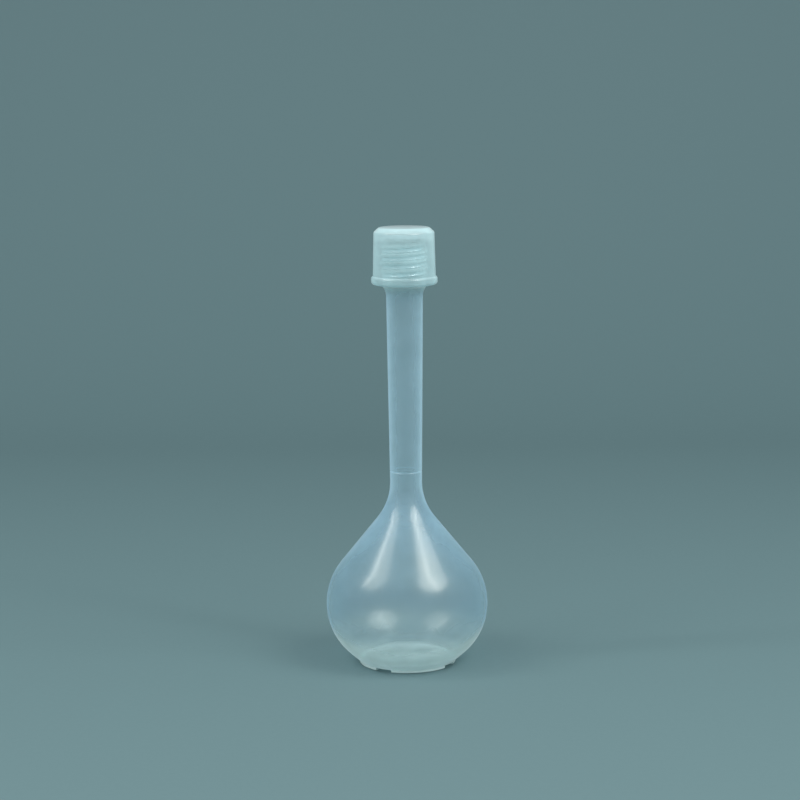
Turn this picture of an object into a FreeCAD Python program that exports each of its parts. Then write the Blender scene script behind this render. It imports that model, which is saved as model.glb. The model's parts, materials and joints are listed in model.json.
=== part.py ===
# Volumetric flask moulded in translucent fluoropolymer, with its screw cap and sealing disc.
# Millimetres and degrees, +Z up, origin at the centre of the foot's underside.
import FreeCAD, Part
import collections
import math
import os
import Sketcher

# Driving dimensions: name, value, meaning.
DIMENSIONS = (
    ("foot_radius", 18.3, "outer radius of the foot ring"),
    ("foot_width", 1.8, "radial width of the foot ring"),
    ("foot_lip", 0.95, "height of the foot ring outside, up to the bulb"),
    ("foot_slope", 42.0, "slope of the bulb's straight side above the foot ring, from the table"),
    ("foot_recess", 1.5, "height of the flat underside inside the foot ring"),
    ("foot_bevel", 0.3, "bevel of the foot ring's standing edges"),
    ("notch_count", 4, "drain notches in the foot ring"),
    ("notch_width", 6.4, "width of a drain notch"),
    ("notch_depth", 1.0, "height of a drain notch above the table"),
    ("notch_angle", 60.0, "turn of the first drain notch from +X"),
    ("base_wall", 1.6, "thickness of the base"),
    ("base_fillet", 5.0, "inside radius between the base and the side"),
    ("bulb_radius", 30.5, "largest outer radius of the bulb"),
    ("bulb_wall", 0.9, "wall of the bulb"),
    ("lower_radius", 24.0, "radius of the bulb's side below its widest ring"),
    ("shoulder_radius", 25.0, "radius of the bulb's side above its widest ring"),
    ("cone_angle", 39.0, "slope of the shoulder cone from the axis"),
    ("neck_fillet", 22.0, "outer radius of the bend from shoulder to neck"),
    ("neck_radius", 6.87, "outer radius at the top of the neck"),
    ("neck_top", 139.3, "height of the top of the neck"),
    ("neck_draft", 0.7, "widening of the neck towards its top, from the axis"),
    ("neck_wall", 1.2, "wall of the neck"),
    ("flare_height", 3.6, "height of the flare between neck and mouth"),
    ("mouth_radius", 8.0, "outer radius of the mouth at the root of its thread"),
    ("rim_height", 161.3, "height of the rim"),
    ("rim_bevel", 0.4, "bevel of the rim's two edges"),
    ("mark_height", 73.6, "height of the ring mark on the neck"),
    ("mark_width", 0.5, "width of the ring mark on the surface"),
    ("mark_depth", 0.2, "depth of the ring mark"),
    ("thread_depth", 1.0, "height of the mouth's thread"),
    ("thread_gap", 0.3, "clearance between the mouth's thread and the cap's bore"),
    ("cap_height", 21.1, "overall height of the cap"),
    ("cap_plate", 2.2, "thickness of the cap's top plate"),
    ("cap_wall", 2.0, "wall of the cap under its top bevel"),
    ("cap_taper", 0.4, "widening of the cap's side down to its flange"),
    ("bevel_width", 1.9, "width of the cap's top bevel"),
    ("bevel_height", 1.7, "height of the cap's top bevel"),
    ("flange_step", 0.65, "reach of the flange beyond the cap's side"),
    ("flange_height", 3.2, "height of the cap's flange"),
    ("flange_slope", 0.6, "height of the slope on top of the flange"),
    ("flange_round", 1.2, "rounding under the flange"),
    ("cap_lead", 0.6, "bevel at the mouth of the cap's bore"),
    ("disc_thickness", 1.5, "thickness of the sealing disc"),
    ("disc_gap", 0.3, "clearance round the sealing disc in the cap's bore"),
)
SIZE = {name: value for name, value, meaning in DIMENSIONS}

# Points of a sketch's line or arc, and the sketch's own axes, in the numbering that sketches use.
START, END, CENTRE = range(1, 4)
LEVEL_AXIS, UPRIGHT_AXIS = range(-1, -3, -1)
ORIGIN = (LEVEL_AXIS, START)
FULL_TURN = 360.0

# Sizes that several pieces and sketches share, as expressions on the sheet's cells.
LOWER_CENTRE = "dims.bulb_radius - dims.lower_radius"
FOOT_SLOPE = "dims.foot_slope * 1 deg"
FOOT_REACH = f"(dims.foot_radius - ({LOWER_CENTRE})) * sin({FOOT_SLOPE})"
BULB_MIDDLE = f"dims.foot_lip + (dims.lower_radius - {FOOT_REACH}) / cos({FOOT_SLOPE})"
CAP_BORE = "dims.mouth_radius + dims.thread_depth + dims.thread_gap"
CAP_RADIUS = CAP_BORE + " + dims.cap_wall"
CAP_SKIRT = CAP_RADIUS + " + dims.cap_taper"
FLANGE_RADIUS = CAP_SKIRT + " + dims.flange_step"


def make_sheet(doc):
    """The sheet of driving dimensions that every sketch and feature is bound to."""
    sheet = doc.addObject("Spreadsheet::Sheet", "dims")
    for row, (name, value, meaning) in enumerate(DIMENSIONS, start=1):
        sheet.set(f"A{row}", name)
        sheet.set(f"B{row}", str(value))
        sheet.setAlias(f"B{row}", name)
        sheet.set(f"C{row}", meaning)
    doc.recompute()


def make_body(doc, label):
    body = doc.addObject("PartDesign::Body", label)
    body.Label = label
    return body


def origin_feature(body, role):
    return next(feature for feature in body.Origin.OriginFeatures if feature.Role == role)


def make_sketch(body, name, role):
    sketch = body.newObject("Sketcher::SketchObject", name)
    sketch.AttachmentSupport = (origin_feature(body, role), [""])
    sketch.MapMode = "FlatFace"
    return sketch


def bind(sketch, name, expression, *constraint):
    """Add a dimension to a sketch, under a name, and bind it to the sheet."""
    index = sketch.addConstraint(Sketcher.Constraint(*constraint))
    sketch.renameConstraint(index, name)
    sketch.setExpression(f"Constraints.{name}", expression)


Link = collections.namedtuple("Link", "index entry leave")


class Outline:
    """A closed outline in a body's XZ plane: a chain of lines and arcs of (radius, height) points."""

    def __init__(self, body, name, start):
        self.sketch = make_sketch(body, name, "XZ_Plane")
        self.here = start
        self.chain = []

    def link(self, index, entry, leave, end, smooth):
        """Join a new line or arc to the last one, flowing into it where the join is smooth."""
        if self.chain:
            last = self.chain[-1]
            kind = "Tangent" if smooth else "Coincident"
            self.sketch.addConstraint(Sketcher.Constraint(kind, last.index, last.leave, index, entry))
        self.chain.append(Link(index, entry, leave))
        self.here = end
        return index

    def line(self, end, smooth=False):
        segment = Part.LineSegment(FreeCAD.Vector(*self.here, 0), FreeCAD.Vector(*end, 0))
        return self.link(self.sketch.addGeometry(segment), START, END, end, smooth)

    def level(self, end):
        index = self.line(end)
        self.sketch.addConstraint(Sketcher.Constraint("Horizontal", index))
        return index

    def upright(self, end):
        index = self.line(end)
        self.sketch.addConstraint(Sketcher.Constraint("Vertical", index))
        return index

    def arc(self, centre, end, clockwise=False, smooth=True):
        circle = Part.Circle(FreeCAD.Vector(*centre, 0), FreeCAD.Vector(0, 0, 1), math.dist(centre, end))
        angles = [math.atan2(y - centre[1], x - centre[0]) for x, y in (self.here, end)]
        entry, leave = START, END
        if clockwise:
            angles.reverse()
            entry, leave = END, START
        index = self.sketch.addGeometry(Part.ArcOfCircle(circle, *angles))
        return self.link(index, entry, leave, end, smooth)

    def close(self):
        first, last = self.chain[0], self.chain[-1]
        join = Sketcher.Constraint("Coincident", last.index, last.leave, first.index, first.entry)
        self.sketch.addConstraint(join)

    def on_axis(self, index, point):
        self.sketch.addConstraint(Sketcher.Constraint("PointOnObject", index, point, UPRIGHT_AXIS))

    def on_table(self, index, point):
        self.sketch.addConstraint(Sketcher.Constraint("PointOnObject", index, point, LEVEL_AXIS))

    def radius(self, name, index, point, expression):
        """Set a point's distance from the axis."""
        drawn = self.sketch.getPoint(index, point).x
        bind(self.sketch, name, expression, "DistanceX", *ORIGIN, index, point, drawn)

    def height(self, name, index, point, expression):
        """Set a point's height above the body's own foot."""
        drawn = self.sketch.getPoint(index, point).y
        bind(self.sketch, name, expression, "DistanceY", *ORIGIN, index, point, drawn)

    def bend(self, name, index, expression):
        """Set an arc's radius."""
        drawn = self.sketch.Geometry[index].Radius
        bind(self.sketch, name, expression, "Radius", index, drawn)

    def slope(self, name, index, expression):
        """Set a line's direction, measured from the level axis."""
        ends = [self.sketch.getPoint(index, point) for point in (START, END)]
        drawn = math.atan2(ends[1].y - ends[0].y, ends[1].x - ends[0].x)
        bind(self.sketch, name, expression, "Angle", index, drawn)


def turn_solid(body, name, outline, kind="PartDesign::Revolution"):
    """Turn an outline once round the axis, to add it or, as a Groove, to cut it away."""
    feature = body.newObject(kind, name)
    feature.Profile = outline.sketch
    feature.ReferenceAxis = (outline.sketch, ["V_Axis"])
    feature.Angle = FULL_TURN
    body.Document.recompute()
    return feature


def ring_edges(shape, radius, height):
    """Names of the full circles of an unplaced shape that have this radius and height."""
    names = []
    for number, edge in enumerate(shape.Edges, start=1):
        if edge.Degenerated or not edge.isClosed() or not isinstance(edge.Curve, Part.Circle):
            continue
        same_height = math.isclose(edge.Curve.Center.z, height, abs_tol=1e-4)
        if same_height and math.isclose(edge.Curve.Radius, radius, abs_tol=1e-4):
            names.append(f"Edge{number}")
    return names


def bevel_rings(body, name, base, rings, expression):
    """Bevel the given (radius, height) rings of a feature."""
    edges = [edge for ring in rings for edge in ring_edges(base.Shape, *ring)]
    feature = body.newObject("PartDesign::Chamfer", name)
    feature.Base = (base, edges)
    feature.setExpression("Size", expression)
    body.Document.recompute()
    return feature


def bulb_middle():
    """Height of the bulb's widest ring, at which its lower curve flows into the slope above the foot."""
    slope = math.radians(SIZE["foot_slope"])
    reach = (SIZE["foot_radius"] - (SIZE["bulb_radius"] - SIZE["lower_radius"])) * math.sin(slope)
    return SIZE["foot_lip"] + (SIZE["lower_radius"] - reach) / math.cos(slope)


def cap_bore():
    """Radius of the cap's bore, clear of the mouth's thread."""
    return SIZE["mouth_radius"] + SIZE["thread_depth"] + SIZE["thread_gap"]


def bore_radius(height):
    """Inside radius of the neck at a height."""
    widening = (height - SIZE["neck_top"]) * math.tan(math.radians(SIZE["neck_draft"]))
    return SIZE["neck_radius"] - SIZE["neck_wall"] + widening


def draw_side(outline, neck_end, inside):
    """The flask's side, from the bulb's lower curve to the end of the neck, on one face of its wall."""
    bulb_cut, neck_cut = (SIZE["bulb_wall"], SIZE["neck_wall"]) if inside else (0.0, 0.0)
    bulb_less = " - dims.bulb_wall" if inside else ""
    fillet_more = " + dims.neck_wall" if inside else ""
    cone = math.radians(SIZE["cone_angle"])
    draft = math.radians(SIZE["neck_draft"])
    middle = bulb_middle()
    widest = SIZE["bulb_radius"] - bulb_cut
    lower_centre = (SIZE["bulb_radius"] - SIZE["lower_radius"], middle)
    shoulder = SIZE["shoulder_radius"] - bulb_cut
    shoulder_centre = (widest - shoulder, middle)
    cone_foot = (shoulder_centre[0] + shoulder * math.cos(cone), middle + shoulder * math.sin(cone))

    # The cone and the neck line meet in a corner, which the neck fillet rounds off.
    fillet = SIZE["neck_fillet"] + neck_cut
    rise = neck_end[1] - cone_foot[1]
    spread = cone_foot[0] - neck_end[0] + rise * math.tan(draft)
    corner_rise = spread / (math.tan(cone) + math.tan(draft))
    corner = (cone_foot[0] - corner_rise * math.tan(cone), cone_foot[1] + corner_rise)
    reach = fillet * math.tan((cone + draft) / 2)
    fillet_foot = (corner[0] + reach * math.sin(cone), corner[1] - reach * math.cos(cone))
    fillet_top = (corner[0] + reach * math.sin(draft), corner[1] + reach * math.cos(draft))
    fillet_centre = (fillet_top[0] + fillet * math.cos(draft), fillet_top[1] - fillet * math.sin(draft))

    lower_arc = outline.arc(lower_centre, (widest, middle))
    shoulder_arc = outline.arc(shoulder_centre, cone_foot)
    cone_line = outline.line(fillet_foot, smooth=True)
    fillet_arc = outline.arc(fillet_centre, fillet_top, clockwise=True)
    neck_line = outline.line(neck_end, smooth=True)

    outline.bend("lower_bend", lower_arc, "dims.lower_radius" + bulb_less)
    outline.radius("lower_centre", lower_arc, CENTRE, LOWER_CENTRE)
    outline.height("lower_middle", lower_arc, CENTRE, BULB_MIDDLE)
    outline.height("shoulder_middle", shoulder_arc, CENTRE, BULB_MIDDLE)
    outline.bend("shoulder_bend", shoulder_arc, "dims.shoulder_radius" + bulb_less)
    outline.slope("cone_slope", cone_line, "90 deg + dims.cone_angle * 1 deg")
    outline.bend("fillet_bend", fillet_arc, "dims.neck_fillet" + fillet_more)
    outline.slope("neck_slope", neck_line, "90 deg - dims.neck_draft * 1 deg")
    return neck_line


def outer_outline(body):
    """Outside of the flask as one solid: recessed base, foot ring, bulb, neck, flare and mouth."""
    foot_inner = SIZE["foot_radius"] - SIZE["foot_width"]
    flare_top = SIZE["neck_top"] + SIZE["flare_height"]
    foot_slope, lower = math.radians(SIZE["foot_slope"]), SIZE["lower_radius"]
    slope_top = (
        SIZE["bulb_radius"] - lower + lower * math.sin(foot_slope),
        bulb_middle() - lower * math.cos(foot_slope),
    )

    outline = Outline(body, "outer_outline", (0, SIZE["foot_recess"]))
    underside = outline.level((foot_inner, SIZE["foot_recess"]))
    outline.upright((foot_inner, 0))
    sole = outline.level((SIZE["foot_radius"], 0))
    outline.upright((SIZE["foot_radius"], SIZE["foot_lip"]))
    foot_side = outline.line(slope_top)
    neck = draw_side(outline, (SIZE["neck_radius"], SIZE["neck_top"]), inside=False)
    flare = outline.line((SIZE["mouth_radius"], flare_top))
    mouth = outline.upright((SIZE["mouth_radius"], SIZE["rim_height"]))
    rim = outline.level((0, SIZE["rim_height"]))
    outline.line((0, SIZE["foot_recess"]))
    outline.close()

    outline.on_axis(underside, START)
    outline.on_axis(rim, END)
    outline.on_table(sole, END)
    outline.height("foot_recess", underside, START, "dims.foot_recess")
    outline.radius("foot_inner", sole, START, "dims.foot_radius - dims.foot_width")
    outline.radius("foot_outer", sole, END, "dims.foot_radius")
    outline.slope("foot_slope", foot_side, FOOT_SLOPE)
    outline.radius("neck_radius", neck, END, "dims.neck_radius")
    outline.height("neck_top", neck, END, "dims.neck_top")
    outline.radius("mouth_radius", flare, END, "dims.mouth_radius")
    outline.height("flare_top", flare, END, "dims.neck_top + dims.flare_height")
    outline.height("rim_height", mouth, END, "dims.rim_height")
    return outline


def cavity_outline(body):
    """Inside of the flask: flat base, bulb and drafted bore, open at the rim."""
    floor = SIZE["foot_recess"] + SIZE["base_wall"]
    side = SIZE["lower_radius"] - SIZE["bulb_wall"]
    side_centre = (SIZE["bulb_radius"] - SIZE["lower_radius"], bulb_middle())
    fillet = SIZE["base_fillet"]
    drop = side_centre[1] - floor - fillet
    fillet_centre = (side_centre[0] + math.sqrt((side - fillet) ** 2 - drop ** 2), floor + fillet)
    stretch = side / (side - fillet)
    side_start = tuple(hub + (tip - hub) * stretch for hub, tip in zip(side_centre, fillet_centre))
    rim = (bore_radius(SIZE["rim_height"]), SIZE["rim_height"])

    outline = Outline(body, "cavity_outline", (0, floor))
    floor_line = outline.level((fillet_centre[0], floor))
    fillet_arc = outline.arc(fillet_centre, side_start)
    bore = draw_side(outline, rim, inside=True)
    mouth = outline.level((0, SIZE["rim_height"]))
    outline.line((0, floor))
    outline.close()

    outline.on_axis(floor_line, START)
    outline.on_axis(mouth, END)
    outline.height("floor", floor_line, START, "dims.foot_recess + dims.base_wall")
    outline.bend("base_fillet", fillet_arc, "dims.base_fillet")
    outline.height("rim_height", bore, END, "dims.rim_height")
    bore_at_rim = "dims.neck_radius - dims.neck_wall"
    bore_at_rim += " + (dims.rim_height - dims.neck_top) * tan(dims.neck_draft * 1 deg)"
    outline.radius("bore_at_rim", bore, END, bore_at_rim)
    return outline


def mark_outline(body):
    """Section of the ring mark: a shallow V across the neck's surface, as deep outside it as inside."""
    surface = bore_radius(SIZE["mark_height"]) + SIZE["neck_wall"]
    outside = surface + SIZE["mark_depth"]
    upper = (outside, SIZE["mark_height"] + SIZE["mark_width"])
    lower = (outside, SIZE["mark_height"] - SIZE["mark_width"])
    outline = Outline(body, "mark_outline", upper)
    down = outline.line((surface - SIZE["mark_depth"], SIZE["mark_height"]))
    up = outline.line(lower)
    outline.upright(upper)
    outline.close()

    neck = "dims.neck_radius - (dims.neck_top - dims.mark_height) * tan(dims.neck_draft * 1 deg)"
    outline.radius("mark_bottom", down, END, neck + " - dims.mark_depth")
    outline.height("mark_height", down, END, "dims.mark_height")
    outline.radius("mark_outside", down, START, neck + " + dims.mark_depth")
    outline.height("mark_upper", down, START, "dims.mark_height + dims.mark_width")
    outline.height("mark_lower", up, END, "dims.mark_height - dims.mark_width")
    return outline


def cut_notches(body):
    """Drain notches across the foot ring, spread evenly round it."""
    inner = SIZE["foot_radius"] - 2 * SIZE["foot_width"]
    outer = SIZE["foot_radius"] + SIZE["foot_width"]
    half = SIZE["notch_width"] / 2
    corners = [(inner, -half), (outer, -half), (outer, half), (inner, half)]
    sketch = make_sketch(body, "notch_outline", "XY_Plane")
    sketch.AttachmentOffset = FreeCAD.Placement(FreeCAD.Vector(), FreeCAD.Rotation(SIZE["notch_angle"], 0, 0))
    sketch.setExpression("AttachmentOffset.Rotation.Angle", "dims.notch_angle * 1 deg")
    for here, there in zip(corners, corners[1:] + corners[:1]):
        sketch.addGeometry(Part.LineSegment(FreeCAD.Vector(*here, 0), FreeCAD.Vector(*there, 0)))
    near, outer_end, far, inner_end = range(len(corners))
    for side in (near, outer_end, far, inner_end):
        sketch.addConstraint(Sketcher.Constraint("Coincident", side, END, (side + 1) % len(corners), START))
    sketch.addConstraint(Sketcher.Constraint("Horizontal", near))
    for side in (outer_end, inner_end):
        sketch.addConstraint(Sketcher.Constraint("Symmetric", side, START, side, END, LEVEL_AXIS))
    inside = "dims.foot_radius - 2 * dims.foot_width"
    outside = "dims.foot_radius + dims.foot_width"
    bind(sketch, "inside", inside, "DistanceX", *ORIGIN, near, START, inner)
    bind(sketch, "outside", outside, "DistanceX", *ORIGIN, near, END, outer)
    bind(sketch, "across", "dims.notch_width", "DistanceY", outer_end, START, outer_end, END, 2 * half)

    notch = body.newObject("PartDesign::Pocket", "notch")
    notch.Profile = sketch
    notch.Reversed = True
    notch.setExpression("Length", "dims.notch_depth")
    body.Document.recompute()
    notches = body.newObject("PartDesign::PolarPattern", "notches")
    notches.Originals = [notch]
    notches.Axis = (origin_feature(body, "Z_Axis"), [""])
    notches.Angle = FULL_TURN
    notches.setExpression("Occurrences", "dims.notch_count")
    body.Tip = notches
    body.Document.recompute()


def make_flask(doc):
    """Thin-walled vessel moulded in one piece, with its ring mark and notched foot ring."""
    body = make_body(doc, "flask")
    outside = turn_solid(body, "outside", outer_outline(body))
    soles = [(SIZE["foot_radius"], 0), (SIZE["foot_radius"] - SIZE["foot_width"], 0)]
    bevel_rings(body, "foot_edges", outside, soles, "dims.foot_bevel")
    cavity = turn_solid(body, "cavity", cavity_outline(body), "PartDesign::Groove")
    rim = SIZE["rim_height"]
    rims = [(SIZE["mouth_radius"], rim), (bore_radius(rim), rim)]
    bevel_rings(body, "rim_edges", cavity, rims, "dims.rim_bevel")
    turn_solid(body, "ring_mark", mark_outline(body), "PartDesign::Groove")
    cut_notches(body)
    return body


def cap_outline(body):
    """Wall of the cap: flat bevelled top, tapered side, rounded flange and plain bore with a lead."""
    top, bore = SIZE["cap_height"], cap_bore()
    ceiling = top - SIZE["cap_plate"]
    shoulder = bore + SIZE["cap_wall"]
    skirt = shoulder + SIZE["cap_taper"]
    flange, turn = skirt + SIZE["flange_step"], SIZE["flange_round"]

    outline = Outline(body, "cap_outline", (0, top))
    lid = outline.level((shoulder - SIZE["bevel_width"], top))
    bevel = outline.line((shoulder, top - SIZE["bevel_height"]))
    side = outline.line((skirt, SIZE["flange_height"]))
    slope = outline.line((flange, SIZE["flange_height"] - SIZE["flange_slope"]))
    outline.upright((flange, turn))
    flange_arc = outline.arc((flange - turn, turn), (flange - turn, 0), clockwise=True)
    sole = outline.line((bore + SIZE["cap_lead"], 0), smooth=True)
    lead = outline.line((bore, SIZE["cap_lead"]))
    outline.upright((bore, ceiling))
    plate = outline.level((0, ceiling))
    outline.upright((0, top))
    outline.close()

    outline.on_axis(lid, START)
    outline.height("top", lid, START, "dims.cap_height")
    outline.radius("flat", lid, END, CAP_RADIUS + " - dims.bevel_width")
    outline.radius("cap_radius", bevel, END, CAP_RADIUS)
    outline.height("bevel_foot", bevel, END, "dims.cap_height - dims.bevel_height")
    outline.radius("skirt", side, END, CAP_SKIRT)
    outline.height("flange_top", side, END, "dims.flange_height")
    outline.radius("flange", slope, END, FLANGE_RADIUS)
    outline.height("slope_foot", slope, END, "dims.flange_height - dims.flange_slope")
    outline.bend("flange_round", flange_arc, "dims.flange_round")
    outline.on_table(sole, START)
    outline.on_table(sole, END)
    outline.radius("lead_mouth", sole, END, CAP_BORE + " + dims.cap_lead")
    outline.radius("bore", lead, END, CAP_BORE)
    outline.height("lead_top", lead, END, "dims.cap_lead")
    outline.height("ceiling", plate, START, "dims.cap_height - dims.cap_plate")
    return outline


def make_cap(doc):
    """Screw cap, with its top plate on the sealing disc."""
    body = make_body(doc, "screw_cap")
    turn_solid(body, "shell", cap_outline(body))
    seat = "dims.rim_height + dims.disc_thickness + dims.cap_plate - dims.cap_height"
    body.setExpression("Placement.Base.z", seat)
    return body


def make_disc(doc):
    """Flat sealing disc, lying on the rim and loose inside the cap."""
    body = make_body(doc, "sealing_disc")
    sketch = make_sketch(body, "disc_outline", "XY_Plane")
    radius = cap_bore() - SIZE["disc_gap"]
    sketch.addGeometry(Part.Circle(FreeCAD.Vector(), FreeCAD.Vector(0, 0, 1), radius))
    sketch.addConstraint(Sketcher.Constraint("Coincident", 0, CENTRE, *ORIGIN))
    bind(sketch, "disc_radius", CAP_BORE + " - dims.disc_gap", "Radius", 0, radius)
    disc = body.newObject("PartDesign::Pad", "disc")
    disc.Profile = sketch
    disc.setExpression("Length", "dims.disc_thickness")
    body.setExpression("Placement.Base.z", "dims.rim_height")
    return body


def check(doc, bodies):
    """Stop unless every object of the document is sound and every piece is one valid solid."""
    for item in doc.Objects:
        if "Invalid" in item.State or "Error" in item.State:
            raise RuntimeError(f"{item.Label} failed: {item.State}")
    for body in bodies:
        if body.Shape.isNull() or not body.Shape.isValid() or len(body.Shape.Solids) != 1:
            raise RuntimeError(f"{body.Label} is not one valid solid")


def main():
    doc = FreeCAD.newDocument("volumetric_flask")
    make_sheet(doc)
    bodies = [make_flask(doc), make_cap(doc), make_disc(doc)]
    doc.recompute()
    check(doc, bodies)
    os.makedirs("parts", exist_ok=True)
    for body in bodies:
        body.Shape.exportStep(f"parts/{body.Label}.step")
        print(f"{body.Label}: {body.Shape.Volume / 1000:.2f} cm3")


main()
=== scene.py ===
import collections
import json
import math

import bmesh
import bpy
from bpy.props import FloatProperty, FloatVectorProperty, IntProperty, PointerProperty
from mathutils import Matrix, Vector


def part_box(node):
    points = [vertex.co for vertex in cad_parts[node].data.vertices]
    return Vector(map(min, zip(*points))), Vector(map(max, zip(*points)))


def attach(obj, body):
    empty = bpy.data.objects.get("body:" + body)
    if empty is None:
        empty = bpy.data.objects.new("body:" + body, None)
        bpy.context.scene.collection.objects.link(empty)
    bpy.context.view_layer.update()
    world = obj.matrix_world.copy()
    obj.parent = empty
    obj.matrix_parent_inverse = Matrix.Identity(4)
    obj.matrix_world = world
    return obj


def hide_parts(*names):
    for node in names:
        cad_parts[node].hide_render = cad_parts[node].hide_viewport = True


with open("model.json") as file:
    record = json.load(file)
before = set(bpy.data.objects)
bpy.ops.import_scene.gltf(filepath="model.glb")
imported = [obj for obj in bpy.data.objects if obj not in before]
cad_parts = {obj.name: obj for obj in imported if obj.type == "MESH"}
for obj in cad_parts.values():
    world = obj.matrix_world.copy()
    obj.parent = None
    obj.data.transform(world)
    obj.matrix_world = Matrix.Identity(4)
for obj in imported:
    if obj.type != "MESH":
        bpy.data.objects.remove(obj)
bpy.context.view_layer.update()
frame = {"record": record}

bl_info = {
    "name": "Volumetric Flask",
    "version": (1, 0, 0),
    "blender": (4, 5, 0),
    "location": "View3D > Sidebar > Flask",
    "description": "A translucent plastic volumetric flask with a ring mark and a screw cap",
    "category": "Add Mesh",
}

FULL_TURN = 2 * math.pi
QUARTER_TURN = math.pi / 2
FLASK_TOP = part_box("flask")[1]
CAP_FOOT, CAP_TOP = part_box("screw_cap")
DISC_FOOT, DISC_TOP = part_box("sealing_disc")
LIFT_PER_RADIAN = frame["record"]["behaviour"]["couplings"][0]["ratio"]


# Sizes, colours and shares that a user can change

def length(name, description, default):
    """A property that holds a length."""
    return FloatProperty(name=name, description=description, default=default, unit="LENGTH", precision=5)


def angle(name, description, degrees):
    """A property that holds an angle, given in degrees."""
    return FloatProperty(
        name=name, description=description, default=math.radians(degrees), subtype="ANGLE",
        unit="ROTATION")


def share(name, description, default):
    """A property that holds a share, from 0 to 1."""
    return FloatProperty(
        name=name, description=description, default=default, min=0.0, max=1.0, subtype="FACTOR")


def colour(name, description, default):
    """A property that holds a colour."""
    return FloatVectorProperty(
        name=name, description=description, default=default, size=3, min=0.0, max=1.0, subtype="COLOR")


class FlaskVesselSizes(bpy.types.PropertyGroup):
    """Sizes of the flask itself."""

    foot_radius: length("Foot radius", "Outside radius of the foot ring", 0.0183)
    foot_width: length("Foot width", "Thickness of the foot ring", 0.0018)
    foot_lip: length("Foot height", "Height at which the bulb leaves the foot ring", 0.00095)
    foot_slope: angle("Foot slope", "Slope of the bulb's side above the foot ring, from level", 42.0)
    foot_recess: length("Base recess", "Height of the base's underside", 0.0015)
    notch_count: IntProperty(name="Notches", description="Drain notches in the foot ring", default=4)
    notch_width: length("Notch width", "Width of a drain notch", 0.0064)
    notch_depth: length("Notch depth", "Height of a drain notch", 0.0010)
    notch_angle: angle("Notch angle", "Direction of the first notch, from +X", 60.0)
    base_wall: length("Base wall", "Thickness of the base", 0.0016)
    base_fillet: length("Base fillet", "Inside rounding between base and bulb", 0.0050)
    bulb_radius: length("Bulb radius", "Radius of the widest ring", FLASK_TOP.x)
    bulb_wall: length("Bulb wall", "Thickness of the bulb's wall", 0.0009)
    lower_radius: length("Lower curve", "Radius of the bulb's curve below its widest ring", 0.0240)
    shoulder_radius: length("Shoulder curve", "Radius of the bulb's curve above its widest ring", 0.0250)
    cone_angle: angle("Cone angle", "Slope of the shoulder's cone, from upright", 39.0)
    neck_fillet: length("Neck fillet", "Radius of the curve from the cone to the neck", 0.0220)
    neck_radius: length("Neck radius", "Outside radius at the top of the neck", 0.00687)
    neck_top: length("Neck top", "Height at which the neck starts to flare", 0.1393)
    neck_draft: angle("Neck draft", "Widening of the neck towards its top", 0.7)
    neck_wall: length("Neck wall", "Thickness of the neck's wall", 0.0012)
    flare_height: length("Flare height", "Height of the flare below the mouth", 0.0036)
    mouth_radius: length("Mouth radius", "Outside radius of the mouth", 0.0080)
    rim_height: length("Rim height", "Height of the rim", FLASK_TOP.z)
    mark_height: length("Mark height", "Height of the ring mark", 0.0736)
    mark_width: length("Mark width", "Width of the ring mark", 0.0005)
    mark_depth: length("Mark depth", "Depth of the ring mark", 0.0002)
    edge_round: length("Edge rounding", "Rounding of the foot's and the rim's edges", 0.0003)


class FlaskCapSizes(bpy.types.PropertyGroup):
    """Sizes of the screw cap."""

    top_height: length("Top", "Height of the flat top", CAP_TOP.z)
    foot_height: length("Foot", "Height of the cap's lower edge", CAP_FOOT.z)
    plate: length("Top plate", "Thickness of the top", 0.0022)
    bore_radius: length("Bore radius", "Inside radius, between the turns of the thread", 0.0093)
    wall: length("Wall", "Thickness of the side at its top", 0.0020)
    taper: length("Taper", "Widening of the side towards the flange", 0.0004)
    bevel_width: length("Bevel width", "Width of the bevel round the top", 0.0019)
    bevel_height: length("Bevel height", "Height of the bevel round the top", 0.0017)
    flange_radius: length("Flange radius", "Outside radius of the flange", CAP_TOP.x)
    flange_height: length("Flange height", "Height of the flange above the lower edge", 0.0032)
    flange_slope: length("Flange slope", "Height of the flange's sloping upper side", 0.0006)
    flange_round: length("Flange rounding", "Rounding of the flange's lower edge", 0.0012)
    lead: length("Lead", "Bevel at the mouth of the bore", 0.0006)
    edge_round: length("Edge rounding", "Rounding of the cap's edges", 0.0004)


class FlaskThreadSizes(bpy.types.PropertyGroup):
    """Sizes of the screw thread, which the mouth and the cap share."""

    pitch: length("Pitch", "Rise of the thread in one turn", LIFT_PER_RADIAN * FULL_TURN)
    turns: FloatProperty(name="Turns", description="Turns of the thread, from the back", default=3.75)
    depth: length("Depth", "Height of the ridge above its root", 0.0010)
    root_width: length("Root width", "Width of the ridge at its root", 0.0020)
    crest_width: length("Crest width", "Width of the ridge at its crest", 0.0009)
    crest_round: length("Crest rounding", "Rounding of the ridge's crest", 0.0004)
    front_height: length("Front height", "Height of the mouth's first ridge at the front", 0.1496)
    cap_drop: length("Cap drop", "Height of the cap's first ridge below the mouth's", 0.0015)
    run_out: length("Run-out", "Length over which the ridge fades at its ends", 0.0070)


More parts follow.
